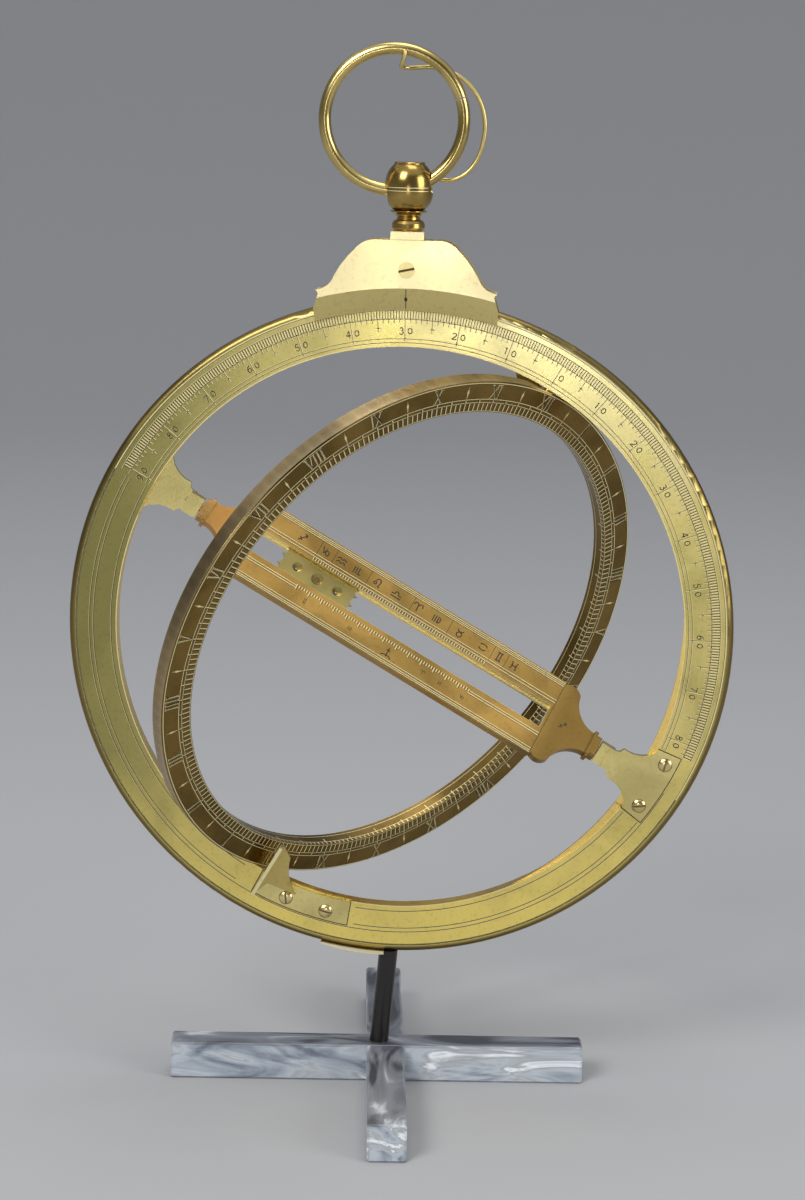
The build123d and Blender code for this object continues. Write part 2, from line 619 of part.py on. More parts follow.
PROP_R = 0.75
PROP_BACK = WIRE_R + PROP_R
PROP = ((9.2, PROP_BACK, 153.9), (13.4, PROP_BACK, 153.5), (18.8, PROP_BACK, 155.9),
        (22.3, PROP_BACK, 160.3), (24.3, PROP_BACK, 166.4), (24.7, PROP_BACK, 172.7),
        (23.1, PROP_BACK, 179.2), (19.3, PROP_BACK, 184.9), (14.0, PROP_BACK, 188.6),
        (4.2, PROP_BACK, 190.6), (-0.8, PROP_BACK - 0.5, 190.2),
        (-3.2, 0.6, 190.4), (-3.4, -1.7, 190.9), (-2.7, -PROP_BACK, 192.8), (-2.4, -PROP_BACK, 196.0))
with BuildPart() as ring_prop_wire:
    with BuildLine() as prop_path:
        Spline([(x, y, CENTRE_Z + z) for x, y, z in PROP])
    with BuildSketch(Plane(origin=prop_path.line @ 0, z_dir=prop_path.line % 0)):
        Circle(PROP_R)
    sweep()
ring_prop_wire.part.label = "ring_prop_wire"

for piece, name in ((suspension_ring.part, "suspension_ring"), (ring_prop_wire.part, "ring_prop_wire")):
    export_step(piece, f"parts/{name}.step")

# ---------------------------------------------------------------- stand
BAR_TOP = CENTRE_Z - 148.0
EDGE = 0.7


def bar(length, yaw, shift, lap_from, lap_to):
    """Bar with bevelled edges, notched between two heights where the other one crosses it."""
    with BuildPart() as piece:
        with Locations(Location((STAND_X, 0, 0), (0, 0, yaw))):
            with Locations((shift, 0, 0)):
                Box(length, BAR, BAR_TOP, align=(Align.CENTER, Align.CENTER, Align.MIN))
            chamfer(piece.edges(), length=EDGE)
            with Locations((0, 0, lap_from)):
                Box(BAR, 2 * BAR, lap_to - lap_from, align=(Align.CENTER, Align.CENTER, Align.MIN),
                    mode=Mode.SUBTRACT)
    return piece.part


rod_foot = Vector(ROD_FOOT_X, 0, BAR_TOP)
rod_head = Vector(ROD_HEAD_X, 0, CENTRE_Z - CRADLE_R)
rod_dir = (rod_head - rod_foot).normalized()
ROD_DEPTH = 10.0
with BuildPart() as stand_cradle:
    with BuildSketch(dial.offset(-CRADLE_LIP[1])):
        with BuildLine():
            start, end = CRADLE_ENDS
            low = CRADLE_R - CRADLE_RISE[0]
            high = CRADLE_R + CRADLE_FLOOR
            CenterArc((0, 0), low, start, end - start)
            Line(polar(low, start), polar(high - 0.5, start))
            ThreePointArc(polar(high - 0.5, start), polar(high + 0.1, (start + end) / 2), polar(high, end))
            Line(polar(low, end), polar(high, end))
        make_face()
    extrude(amount=2 * CRADLE_LIP[1])
    with BuildSketch(dial.offset(-CRADLE_LIP[1])):
        with BuildLine():
            sector(CRADLE_R - CRADLE_RISE[1], CRADLE_R + 0.1, *CRADLE_ENDS)
        make_face()
    extrude(amount=CRADLE_LIP[1] - CRADLE_LIP[0])
    with BuildSketch(dial.offset(-CRADLE_LIP[0])):
        Circle(CRADLE_R)
    extrude(amount=2 * CRADLE_LIP[0], mode=Mode.SUBTRACT)
stand_cradle.part.label = "stand_cradle"
export_step(stand_cradle.part, "parts/stand_cradle.step")

with BuildPart() as stand_rod:
    with BuildSketch(Plane(origin=rod_foot - rod_dir * ROD_DEPTH, z_dir=rod_dir)):
        Circle(ROD_R)
    extrude(amount=ROD_DEPTH + (rod_head - rod_foot).length + 3)
    with BuildSketch(dial.offset(-5)):
        Circle(CRADLE_R)
    extrude(amount=10, mode=Mode.SUBTRACT)
    add(stand_cradle.part, mode=Mode.SUBTRACT)
stand_rod.part.label = "stand_rod"
export_step(stand_rod.part, "parts/stand_rod.step")

for name, length, yaw, shift, lap_from, lap_to in (
    ("stand_bar_long", BAR_X, STAND_YAW, BAR_SHIFT, -1.0, BAR_TOP / 2),
    ("stand_bar_cross", BAR_Y, STAND_YAW + 90, 0, BAR_TOP / 2, BAR_TOP + 1),
):
    with BuildPart() as stand_bar:
        add(bar(length, yaw, shift, lap_from, lap_to))
        with BuildSketch(Plane(origin=rod_foot - rod_dir * ROD_DEPTH, z_dir=rod_dir)):
            Circle(ROD_R)
        extrude(amount=ROD_DEPTH + 3, mode=Mode.SUBTRACT)
    stand_bar.part.label = name
    export_step(stand_bar.part, f"parts/{name}.step")
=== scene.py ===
"""Looks of the universal equinoctial ring dial: brass, engraved scales, painted stand, studio and camera."""
import math

import bpy
from mathutils import Matrix, Vector


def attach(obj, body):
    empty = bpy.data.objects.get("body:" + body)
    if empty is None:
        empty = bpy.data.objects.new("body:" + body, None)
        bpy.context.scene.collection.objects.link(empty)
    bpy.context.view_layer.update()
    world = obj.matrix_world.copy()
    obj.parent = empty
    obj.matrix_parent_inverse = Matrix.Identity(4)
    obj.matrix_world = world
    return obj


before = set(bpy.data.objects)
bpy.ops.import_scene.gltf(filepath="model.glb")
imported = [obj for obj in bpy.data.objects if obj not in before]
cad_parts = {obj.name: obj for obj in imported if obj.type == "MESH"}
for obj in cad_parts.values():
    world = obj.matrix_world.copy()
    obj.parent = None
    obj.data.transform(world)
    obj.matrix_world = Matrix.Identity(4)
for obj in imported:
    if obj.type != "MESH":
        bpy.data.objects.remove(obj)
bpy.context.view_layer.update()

# ---------------------------------------------------------------- the dial's planes (mm, about its centre)
CENTRE = Vector((0.0, 0.0, 161.0))
LATITUDE = 30.0             # elevation of the polar axis
HOUR_OPENING = 45.9         # angle of the hour ring out of the meridian plane
BRIDGE_TILT = 38.0          # turn of the bridge about the polar axis
RING_FACE = 3.0             # how far each engraved face stands off the dial's centre
HOUR_FACE = 3.9
BRIDGE_FACE = 1.75
CHEEK_FACE = 5.5
LIFT = 0.03                 # how far a mark stands off its face
SLOT_REST = 0.05375         # half length less half width of the bridge's slot, in metres


def direction(angle):
    a = math.radians(angle)
    return Vector((math.cos(a), 0, math.sin(a)))


viewer = Vector((0, -1, 0))
to_south = direction(-LATITUDE)
to_pivot = direction(90 - LATITUDE)
theta = math.radians(HOUR_OPENING)
phi = math.radians(BRIDGE_TILT)


class Face:
    """A flat face of the dial: x and y directions, normal, and how far it stands off the dial's centre."""

    def __init__(self, x, y, n, height):
        self.x, self.y, self.n, self.height = x, y, n, height

    def at(self, x, y):
        return (CENTRE + self.x * x + self.y * y + self.n * (self.height + LIFT)) / 1000

    def polar(self, r, angle):
        a = math.radians(angle)
        return self.at(r * math.cos(a), r * math.sin(a))


ring_face = Face(Vector((1, 0, 0)), Vector((0, 0, 1)), viewer, RING_FACE)
ring_back = Face(Vector((-1, 0, 0)), Vector((0, 0, 1)), -viewer, RING_FACE)
hour_face = Face(to_pivot, viewer * math.sin(theta) - to_south * math.cos(theta),
                 viewer * math.cos(theta) + to_south * math.sin(theta), HOUR_FACE)
bridge_face = Face(to_south, to_pivot * math.cos(phi) - viewer * math.sin(phi),
                   viewer * math.cos(phi) + to_pivot * math.sin(phi), BRIDGE_FACE)


# ---------------------------------------------------------------- materials
def new_material(name):
    material = bpy.data.materials.new(name)
    material.use_nodes = True
    tree = material.node_tree
    return material, tree.nodes, tree.links, tree.nodes["Principled BSDF"]


def ramp(nodes, points):
    node = nodes.new("ShaderNodeValToRGB")
    while len(node.color_ramp.elements) < len(points):
        node.color_ramp.elements.new(0.5)
    for element, (position, colour) in zip(node.color_ramp.elements, points):
        element.position = position
        element.color = (*colour, 1)
    return node


def noise(nodes, links, source, scale, detail, stretch=(1, 1, 1), distortion=0.0):
    mapping = nodes.new("ShaderNodeMapping")
    mapping.inputs["Scale"].default_value = stretch
    links.new(source, mapping.inputs["Vector"])
    node = nodes.new("ShaderNodeTexNoise")
    node.inputs["Scale"].default_value = scale
    node.inputs["Detail"].default_value = detail
    node.inputs["Distortion"].default_value = distortion
    links.new(mapping.outputs["Vector"], node.inputs["Vector"])
    return node.outputs["Fac"]


def math_node(nodes, links, operation, a, b):
    node = nodes.new("ShaderNodeMath")
    node.operation = operation
    for socket, value in zip(node.inputs, (a, b)):
        if isinstance(value, (int, float)):
            socket.default_value = value
        else:
            links.new(value, socket)
    return node.outputs[0]


def mix_colour(nodes, links, factor, a, b):
    node = nodes.new("ShaderNodeMix")
    node.data_type = "RGBA"
    links.new(factor, node.inputs["Factor"])
    for index, value in ((6, a), (7, b)):
        if isinstance(value, tuple):
            node.inputs[index].default_value = (*value, 1)
        else:
            links.new(value, node.inputs[index])
    return node.outputs[2]


def span(nodes, links, value, low, high):
    node = nodes.new("ShaderNodeMapRange")
    node.inputs["From Min"].default_value = low
    node.inputs["From Max"].default_value = high
    links.new(value, node.inputs["Value"])
    return node.outputs["Result"]


def distance(nodes, links, source, flat):
    """Distance of the surface from the dial's centre, across the face only if flat."""
    offset = nodes.new("ShaderNodeVectorMath")
    offset.operation = "SUBTRACT"
    offset.inputs[1].default_value = tuple(CENTRE / 1000)
    links.new(source, offset.inputs[0])
    squash = nodes.new("ShaderNodeVectorMath")
    squash.operation = "MULTIPLY"
    squash.inputs[1].default_value = (1, 0 if flat else 1, 1)
    links.new(offset.outputs[0], squash.inputs[0])
    length = nodes.new("ShaderNodeVectorMath")
    length.operation = "LENGTH"
    links.new(squash.outputs[0], length.inputs[0])
    return length.outputs["Value"], offset.outputs[0]


def along_axis(nodes, links, offset, axis):
    """How far the surface is from the dial's centre along an axis, either way."""
    node = nodes.new("ShaderNodeVectorMath")
    node.operation = "DOT_PRODUCT"
    node.inputs[1].default_value = tuple(axis)
    links.new(offset, node.inputs[0])
    return math_node(nodes, links, "ABSOLUTE", node.outputs["Value"], 0)


PATCH_SCALE = 45            # size of the patches of tone, and of the fine handling marks
FINE_SCALE = 700
PLAIN_SPECKS = 0.1          # how strongly those marks show on the plain turned pieces


def brass(name, light, dark, rough, grain, zones=(), specks=0.25):
    """Worn brass: two tones in patches and fine handling marks, with zones of other tone by place, most of
    which paint light and shade onto it.
    """
    material, nodes, links, shader = new_material(name)
    place = nodes.new("ShaderNodeTexCoord").outputs["Object"]
    patches = noise(nodes, links, place, PATCH_SCALE, 4, (1, 1, 1), 0.5)
    tone = ramp(nodes, ((0.36, dark), (0.60, light)))
    links.new(patches, tone.inputs["Fac"])
    colour = tone.outputs["Color"]
    for kind, low, high, other in zones:
        if kind == "flat":
            value = distance(nodes, links, place, True)[0]
        elif kind == "round":
            value = distance(nodes, links, place, False)[0]
        elif kind == "slot":
            offset = distance(nodes, links, place, False)[1]
            beside = along_axis(nodes, links, offset, bridge_face.y)
            lengthways = along_axis(nodes, links, offset, bridge_face.x)
            beyond = math_node(nodes, links, "SUBTRACT", lengthways, SLOT_REST)
            value = math_node(nodes, links, "MAXIMUM", beside, beyond)
        elif kind == "depth":
            parts = nodes.new("ShaderNodeSeparateXYZ")
            links.new(place, parts.inputs["Vector"])
            value = math_node(nodes, links, "ABSOLUTE", parts.outputs["Y"], 0)
        else:
            along = nodes.new("ShaderNodeVectorMath")
            along.operation = "DOT_PRODUCT"
            along.inputs[1].default_value = tuple(kind)
            links.new(distance(nodes, links, place, False)[1], along.inputs[0])
            value = along.outputs["Value"]
            wobble = math_node(nodes, links, "MULTIPLY", patches, (high - low) / 1000)
            middle = math_node(nodes, links, "SUBTRACT", wobble, (high - low) / 2000)
            value = math_node(nodes, links, "ADD", value, middle)
        colour = mix_colour(nodes, links, span(nodes, links, value, low / 1000, high / 1000), colour, other)
    fine = noise(nodes, links, place, FINE_SCALE, 3)
    worn = ramp(nodes, ((0.30, (0.55, 0.50, 0.42)), (0.46, (1, 1, 1))))
    links.new(fine, worn.inputs["Fac"])
    darken = nodes.new("ShaderNodeMix")
    darken.data_type = "RGBA"
    darken.blend_type = "MULTIPLY"
    darken.inputs["Factor"].default_value = specks
    links.new(colour, darken.inputs[6])
    links.new(worn.outputs["Color"], darken.inputs[7])
    links.new(darken.outputs[2], shader.inputs["Base Color"])
    shader.inputs["Metallic"].default_value = 1.0
    roughness = nodes.new("ShaderNodeMapRange")
    roughness.inputs["From Min"].default_value = 0.35
    roughness.inputs["From Max"].default_value = 0.65
    roughness.inputs["To Min"].default_value = rough[0]
    roughness.inputs["To Max"].default_value = rough[1]
    links.new(patches, roughness.inputs["Value"])
    links.new(roughness.outputs["Result"], shader.inputs["Roughness"])
    bump = nodes.new("ShaderNodeBump")
    bump.inputs["Strength"].default_value = grain
    bump.inputs["Distance"].default_value = 0.0002
    links.new(fine, bump.inputs["Height"])
    links.new(bump.outputs["Normal"], shader.inputs["Normal"])
    return material


def plain(name, colour, roughness, metallic):
    material, _, _, shader = new_material(name)
    shader.inputs["Base Color"].default_value = (*colour, 1)
    shader.inputs["Roughness"].default_value = roughness
    shader.inputs["Metallic"].default_value = metallic
    return material


def marbled(name, along):
    """Marbled paint: long soft streaks that run with the bar, with painted shade darkening the tops and
    painted light making the sides paler.
    """
    material, nodes, links, shader = new_material(name)
    place = nodes.new("ShaderNodeTexCoord").outputs["Object"]
    turned = nodes.new("ShaderNodeMapping")
    turned.inputs["Rotation"].default_value = (0, 0, -math.radians(along))
    links.new(place, turned.inputs["Vector"])
    streaks = noise(nodes, links, turned.outputs["Vector"], 62, 5, (0.32, 1, 1.5), 1.6)
    side = ramp(nodes, ((0.34, (0.12, 0.14, 0.18)), (0.42, (0.30, 0.34, 0.39)), (0.50, (0.46, 0.50, 0.54)),
                        (0.56, (0.34, 0.36, 0.38)), (0.61, (0.80, 0.83, 0.86)), (0.66, (0.50, 0.53, 0.57))))
    top = ramp(nodes, ((0.36, (0.04, 0.045, 0.055)), (0.45, (0.13, 0.14, 0.16)), (0.54, (0.20, 0.21, 0.24)),
                       (0.60, (0.50, 0.53, 0.56)), (0.66, (0.24, 0.26, 0.29))))
    links.new(streaks, side.inputs["Fac"])
    links.new(streaks, top.inputs["Fac"])
    normal = nodes.new("ShaderNodeTexCoord").outputs["Normal"]
    upward = nodes.new("ShaderNodeSeparateXYZ")
    links.new(normal, upward.inputs["Vector"])
    # upward faces take the darker ramp: painted shade on the tops of the bars, the sides paler as painted
    # light
    blend = span(nodes, links, upward.outputs["Z"], 0.3, 0.8)
    colour = mix_colour(nodes, links, blend, side.outputs["Color"], top.outputs["Color"])
    links.new(colour, shader.inputs["Base Color"])
    shader.inputs["Roughness"].default_value = 0.38
    bump = nodes.new("ShaderNodeBump")
    bump.inputs["Strength"].default_value = 0.25
    bump.inputs["Distance"].default_value = 0.0004
    links.new(streaks, bump.inputs["Height"])
    links.new(bump.outputs["Normal"], shader.inputs["Normal"])
    return material


# directions from the dial's centre along which painted light and shade change the meridian ring's tone:
# painted shade to the left, painted light at the bottom, a painted highlight to the upper right
LEFT = (-0.985, 0, 0.17)
DOWN = (0.1, 0, -0.995)
UP_RIGHT = (0.45, 0, 0.89)
# the meridian ring's zones: painted shade on the left, painted light at the bottom, a painted highlight at
# the upper right, a painted highlight along the bore and painted shade on the rounded outer edge
ring_brass = brass("brass_meridian", (0.78, 0.65, 0.24), (0.60, 0.51, 0.17), (0.26, 0.38), 0.06, (
    (LEFT, 30, 104, (0.30, 0.27, 0.092)),
    (UP_RIGHT, 84, 122, (0.98, 0.88, 0.46)),
    (DOWN, 40, 104, (1.0, 0.80, 0.22)),
    ("flat", 98.3, 97.7, (0.95, 0.70, 0.22)),
    ("flat", 111.8, 113.2, (0.22, 0.16, 0.05))))
# the hour ring lighter on its outer edge, beyond 97.1 mm from the dial's centre: a painted highlight
hour_brass = brass("brass_hour_ring", (0.25, 0.160, 0.045), (0.16, 0.103, 0.028), (0.20, 0.34), 0.06, (
    ("round", 97.1, 97.25, (0.50, 0.38, 0.21)),))
# the bridge: redder towards its north end, painted shade darkening it towards its south end, and a painted
# highlight on the walls of its slot
bridge_brass = brass("brass_bridge", (0.56, 0.345, 0.095), (0.41, 0.255, 0.068), (0.28, 0.40), 0.06, (
    (tuple(to_south), -56, -66, (0.60, 0.31, 0.085)),
    (tuple(to_south), 54, 64, (0.30, 0.185, 0.05)),
    ("slot", 4.72, 4.66, (1.0, 0.84, 0.42))))
# the spindles darker towards the south end: painted shade
red_brass = brass("brass_red", (0.66, 0.38, 0.125), (0.48, 0.27, 0.08), (0.24, 0.36), 0.04, (
    (tuple(to_south), 20, 50, (0.34, 0.21, 0.055)),))
cursor_brass = brass("brass_cursor", (0.50, 0.41, 0.15), (0.36, 0.29, 0.10), (0.26, 0.34), 0.02,
                     (), PLAIN_SPECKS)
# by distance from the ring's middle plane: painted shade from 4.6 mm, on the stop brackets' webs beside their
# tabs, and a painted highlight from 6.4 mm up the tabs to their front edges
bracket_brass = brass("brass_brackets", (0.86, 0.73, 0.30), (0.68, 0.57, 0.22), (0.22, 0.34), 0.04, (
    ("depth", 4.2, 4.6, (0.56, 0.44, 0.15)), ("depth", 6.4, 8.6, (0.95, 0.84, 0.46))))
# darker nearer than 3.1 mm to the ring's middle plane, down in the slots of the screw heads: painted shade
screw_brass = brass("brass_screws", (0.86, 0.72, 0.34), (0.70, 0.56, 0.24), (0.20, 0.30), 0.02, (
    ("depth", 3.20, 3.10, (0.28, 0.20, 0.08)),), PLAIN_SPECKS)
# darker nearer than 5.2 mm to the middle plane, down in the screw's slot: painted shade
bolt_brass = brass("brass_shackle_screw", (0.66, 0.56, 0.26), (0.52, 0.42, 0.18), (0.24, 0.34), 0.02, (
    ("depth", 5.3, 5.2, (0.08, 0.055, 0.02)),), PLAIN_SPECKS)
cheek_brass = brass("brass_cheeks", (0.92, 0.80, 0.44), (0.82, 0.69, 0.34), (0.26, 0.36), 0.05, (
    ("flat", 117.55, 117.45, (0.66, 0.55, 0.22)),))
swivel_brass = brass("brass_swivel", (0.46, 0.31, 0.09), (0.30, 0.20, 0.055), (0.18, 0.26), 0.02,
                     (), PLAIN_SPECKS)
eye_brass = brass("brass_suspension_ring", (0.66, 0.51, 0.19), (0.46, 0.35, 0.12), (0.18, 0.28), 0.03,
                  (), PLAIN_SPECKS)
wire_brass = brass("brass_prop_wire", (0.70, 0.56, 0.22), (0.54, 0.42, 0.15), (0.28, 0.40), 0.03,
                   (), PLAIN_SPECKS)
pale_brass = brass("brass_cradle", (0.98, 0.88, 0.58), (0.90, 0.78, 0.46), (0.30, 0.42), 0.03,
                   (), PLAIN_SPECKS)
rod_black = plain("black_rod", (0.010, 0.008, 0.007), 0.22, 0.0)
# bright strokes: engraving with a painted highlight on the lit side of each cut; dark strokes: engraving with
# painted shade beside the cuts
mark_and_highlight = plain("engraving_and_highlight", (0.86, 0.74, 0.38), 0.42, 0.65)
mark_and_shade = plain("engraving_and_shade", (0.035, 0.026, 0.012), 0.7, 0.0)

STAND_YAW = 4.6             # angle of the stand's long bar
looks = {
    "meridian_ring": ring_brass,
    "hour_ring": hour_brass,
    "bridge": bridge_brass,
    "bridge_spindles": red_brass,
    "cursor_plate": cursor_brass,
    "cursor_back_plate": cursor_brass,
    "cursor_screw": screw_brass,
    "pole_bracket_screws": screw_brass,
    "stop_bracket_screws": screw_brass,
    "shackle_screw": bolt_brass,
    "hour_ring_pivots": bracket_brass,
    "shackle_front_cheek": cheek_brass,
    "shackle_back_cheek": cheek_brass,
    "shackle_spacer": cheek_brass,
    "shackle_spring": bracket_brass,
    "swivel_foot": swivel_brass,
    "swivel_stem": swivel_brass,
    "swivel_ball": swivel_brass,
    "swivel_cap": swivel_brass,
    "suspension_ring": eye_brass,
    "ring_prop_wire": wire_brass,
    "stand_cradle": pale_brass,
    "stand_rod": rod_black,
    "stand_bar_long": marbled("marbled_long", STAND_YAW),
    "stand_bar_cross": marbled("marbled_cross", STAND_YAW + 90),
}
for name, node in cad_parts.items():
    node.data.materials.clear()
    node.data.materials.append(looks.get(name, bracket_brass))


# ---------------------------------------------------------------- engraving, with painted highlights and painted shade beside the cuts
class Marks:
    """Collects the flat strokes of one engraving, with the painted highlights and painted shade drawn beside
    its cuts, and makes them one mesh.
    """

    def __init__(self):
        self.points, self.faces = [], []

    def polygon(self, points):
        start = len(self.points)
        self.points += points
        self.faces.append(tuple(range(start, start + len(points))))

    def line(self, face, a, b, width):
        """Straight stroke between two points of the face."""
        run = Vector((b[0] - a[0], b[1] - a[1]))
        side = Vector((-run.y, run.x)).normalized()
        corners = ((a, -width), (b, -width), (b, width), (a, width))
        self.polygon([face.at(p[0] + side.x * w / 2, p[1] + side.y * w / 2) for p, w in corners])

    def tick(self, face, r0, r1, angle, width, shift=0.0):
        """Stroke outward from r0 to r1 at this angle, moved sideways by the shift."""
        a = math.radians(angle)
        out, across = Vector((math.cos(a), math.sin(a))), Vector((-math.sin(a), math.cos(a)))
        p, q = out * r0 + across * shift, out * r1 + across * shift
        self.line(face, (p.x, p.y), (q.x, q.y), width)

    def arc(self, face, r, width, start, end):
        """Round line of radius r, in steps of about two degrees."""
        count = max(2, int(abs(end - start) / 2))
        for k in range(count):
            a, b = (start + (end - start) * (k + j) / count for j in (0, 1))
            self.polygon([face.polar(r - width / 2, a), face.polar(r + width / 2, a),
                          face.polar(r + width / 2, b), face.polar(r - width / 2, b)])

    def build(self, name, material, body, slot):
        mesh = bpy.data.meshes.new(name)
        mesh.from_pydata([tuple(p) for p in self.points], [], self.faces)
        mesh.materials.append(material)
        piece = bpy.data.objects.new(name, mesh)
        bpy.context.scene.collection.objects.link(piece)
        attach(piece, body)


def glyph_place(r, angle):
    """Maps a glyph drawn about (0, 0) to radius r and this angle, its top outward, read clockwise."""
    a = math.radians(angle)
    out, along = Vector((math.cos(a), math.sin(a))), Vector((math.sin(a), -math.cos(a)))
    return lambda x, y: tuple(out * (r + y) + along * x)


def straight_place(x0, y0):
    return lambda x, y: (x0 + x, y0 + y)


def shifted(place, x, y):
    """The same place, moved in the glyph's own directions."""
    return lambda a, b: place(a + x, b + y)


def strokes(marks, face, place, lines, scale, width):
    for line in lines:
        for a, b in zip(line, line[1:]):
            marks.line(face, place(a[0] * scale, a[1] * scale), place(b[0] * scale, b[1] * scale), width)


ROMAN_WIDTH = {"I": 1.5, "V": 3.0, "X": 3.1}


def roman(marks, face, place, text, height, thick, thin):
    """Roman numeral with thick and thin strokes and serifs, centred on its place."""
    cursor = -sum(ROMAN_WIDTH[c] for c in text) / 2
    top, foot = height / 2, -height / 2
    for c in text:
        x = cursor + ROMAN_WIDTH[c] / 2
        half = ROMAN_WIDTH[c] / 2 - 0.35
        if c == "I":
            marks.line(face, place(x, foot), place(x, top), thick)
            ends = ((x, top), (x, foot))
        elif c == "V":
            marks.line(face, place(x - half, top), place(x, foot), thick)
            marks.line(face, place(x + half, top), place(x, foot), thin)
            ends = ((x - half, top), (x + half, top))
        else:
            marks.line(face, place(x - half, top), place(x + half, foot), thick)
            marks.line(face, place(x + half, top), place(x - half, foot), thin)
            ends = ((x - half, top), (x + half, top), (x - half, foot), (x + half, foot))
        for ex, ey in ends:
            marks.line(face, place(ex - 0.55, ey), place(ex + 0.55, ey), thin)
        cursor += ROMAN_WIDTH[c]


def circle(x, y, rx, ry, start=0, end=360, count=10):
    return [(x + rx * math.cos(math.radians(start + (end - start) * k / count)),
             y + ry * math.sin(math.radians(start + (end - start) * k / count))) for k in range(count + 1)]


DIGITS = {
    "0": [circle(0, 0, 0.30, 0.42)],
    "1": [[(-0.15, 0.3), (0.05, 0.5), (0.05, -0.5)]],
    "2": [circle(0, 0.2, 0.27, 0.27, 170, -50, 7) + [(-0.3, -0.5), (0.35, -0.45)]],
    "3": [circle(-0.02, 0.22, 0.25, 0.24, 150, -80, 7), circle(-0.02, -0.25, 0.3, 0.28, 80, -150, 7)],
    "4": [[(0.3, -0.18), (-0.35, -0.18), (0.12, 0.5), (0.12, -0.55)]],
    "5": [[(0.3, 0.5), (-0.2, 0.48), (-0.22, 0.08)] + circle(-0.02, -0.2, 0.3, 0.3, 110, -150, 8)],
    "6": [circle(0, -0.18, 0.28, 0.3), [(-0.28, -0.1), (-0.15, 0.35), (0.2, 0.55)]],
    "7": [[(-0.3, 0.45), (0.32, 0.45), (-0.05, -0.55)]],
    "8": [circle(0, 0.25, 0.22, 0.24), circle(0, -0.25, 0.28, 0.28)],
    "9": [circle(0, 0.18, 0.28, 0.3), [(0.28, 0.1), (0.15, -0.35), (-0.2, -0.55)]],
}


# scales of the meridian ring: angles of its pivots and poles, radii of its bands
UPPER, NORTH, SOUTH, LOWER = 90 - LATITUDE, 180 - LATITUDE, -LATITUDE, 270 - LATITUDE
SCALE_START = SOUTH + 7.4   # edge of the south pole bracket
BAND_IN, BAND_OUT = 107.2, 110.0
FEET = {10: 99.5, 5: 102.7, 1: 105.7}
FIVE_DOT = (103.95, 104.1, 104.35)
FIGURE_R, FIGURE_SIZE, FIGURE_GAP, FIGURE_SHADE = 103.2, 2.3, 1.45, 0.1
BORDER_R = 112.0
SEAT_R = 106.8
BORE_EDGE_R = 98.0


def latitude_figures(light, dark, degrees, angle):
    place = glyph_place(FIGURE_R, angle)
    for digit, x in zip(f"{degrees:2d}", (-FIGURE_GAP, FIGURE_GAP)):
        if digit in DIGITS:
            shade = shifted(place, x + FIGURE_SHADE, -FIGURE_SHADE)
            strokes(dark, ring_face, shade, DIGITS[digit], FIGURE_SIZE, 0.3)
            strokes(light, ring_face, shifted(place, x, 0), DIGITS[digit], FIGURE_SIZE, 0.26)


def latitude_ticks(light, dark):
    """Half degrees from the south pole bracket to the north pole, numbered away from the upper pivot; each
    tick is a bright stroke of painted highlight with a painted shade stroke beside it, and each fifth degree
    has a dot painted lit on its outer half and shaded on its inner half.
    """
    for k in range(361):
        angle = SOUTH + k / 2
        if angle < SCALE_START:
            continue
        light.tick(ring_face, BAND_IN, BAND_OUT, angle, 0.34)
        dark.tick(ring_face, BAND_IN, BAND_OUT, angle, 0.26, 0.36)
        if k % 2:
            continue
        degrees = abs(round(angle - UPPER))
        step = 10 if degrees % 10 == 0 else 5 if degrees % 5 == 0 else 1
        light.tick(ring_face, FEET[step], BAND_IN, angle, 0.26)
        dark.tick(ring_face, FEET[step], BAND_IN, angle, 0.16, 0.2)
        if step == 5:
            low, middle, high = FIVE_DOT
            light.tick(ring_face, middle, high, angle, 1.5)
            dark.tick(ring_face, low, middle, angle, 1.5)
        if step == 10:
            latitude_figures(light, dark, degrees, angle)


def ring_lines(light, dark):
    """Round lines of the scale drawn bright with painted shade beside them, plain dark lines on the lower
    half with a painted highlight beside them, and a painted highlight along the edge of the bore.
    """
    for r, width in ((BORDER_R, 0.34), (110.1, 0.16), (107.2, 0.16), (100.6, 0.16), (99.3, 0.14)):
        start, end = (SOUTH - 178, NORTH + 2) if r == BORDER_R else (SCALE_START, NORTH + 1)
        light.arc(ring_face, r, width, start, end)
        dark.arc(ring_face, r - width / 2 - 0.09, 0.18, start, end)
    first = NORTH + 1.5
    for r in (99.8, 105.9, 107.3, BORDER_R):
        broken = ((first, 238.5), (262.5, 322.5)) if r < SEAT_R else ((first, 242), (242, 330))
        for start, end in broken:
            dark.arc(ring_face, r, 0.24, start, end)
            light.arc(ring_face, r + 0.18, 0.1, start, end)
    for start, end in ((157.5, 238.5), (262.0, 322.5), (-22.3, 150)):
        light.arc(ring_face, BORE_EDGE_R, 0.24, start, end)


def seat_edges(dark):
    """Painted shade along the edges of the seats that the two front brackets are let into, over the gaps
    round the brackets.
    """
    for seat, start, end in ((SOUTH, -7.15, 7.15), (LOWER, 2.2, 21.4)):
        dark.arc(ring_face, SEAT_R, 0.3, seat + start, seat + end)
        for edge in (start, end):
            dark.tick(ring_face, BORE_EDGE_R, SEAT_R + 0.1, seat + edge, 0.3)


def latitude_scales():
    light, dark = Marks(), Marks()
    latitude_ticks(light, dark)
    ring_lines(light, dark)
    seat_edges(dark)
    light.build("latitude_scale_and_highlight", mark_and_highlight, "meridian", "meridian_brass")
    dark.build("latitude_scale_and_shade", mark_and_shade, "meridian", "meridian_brass")


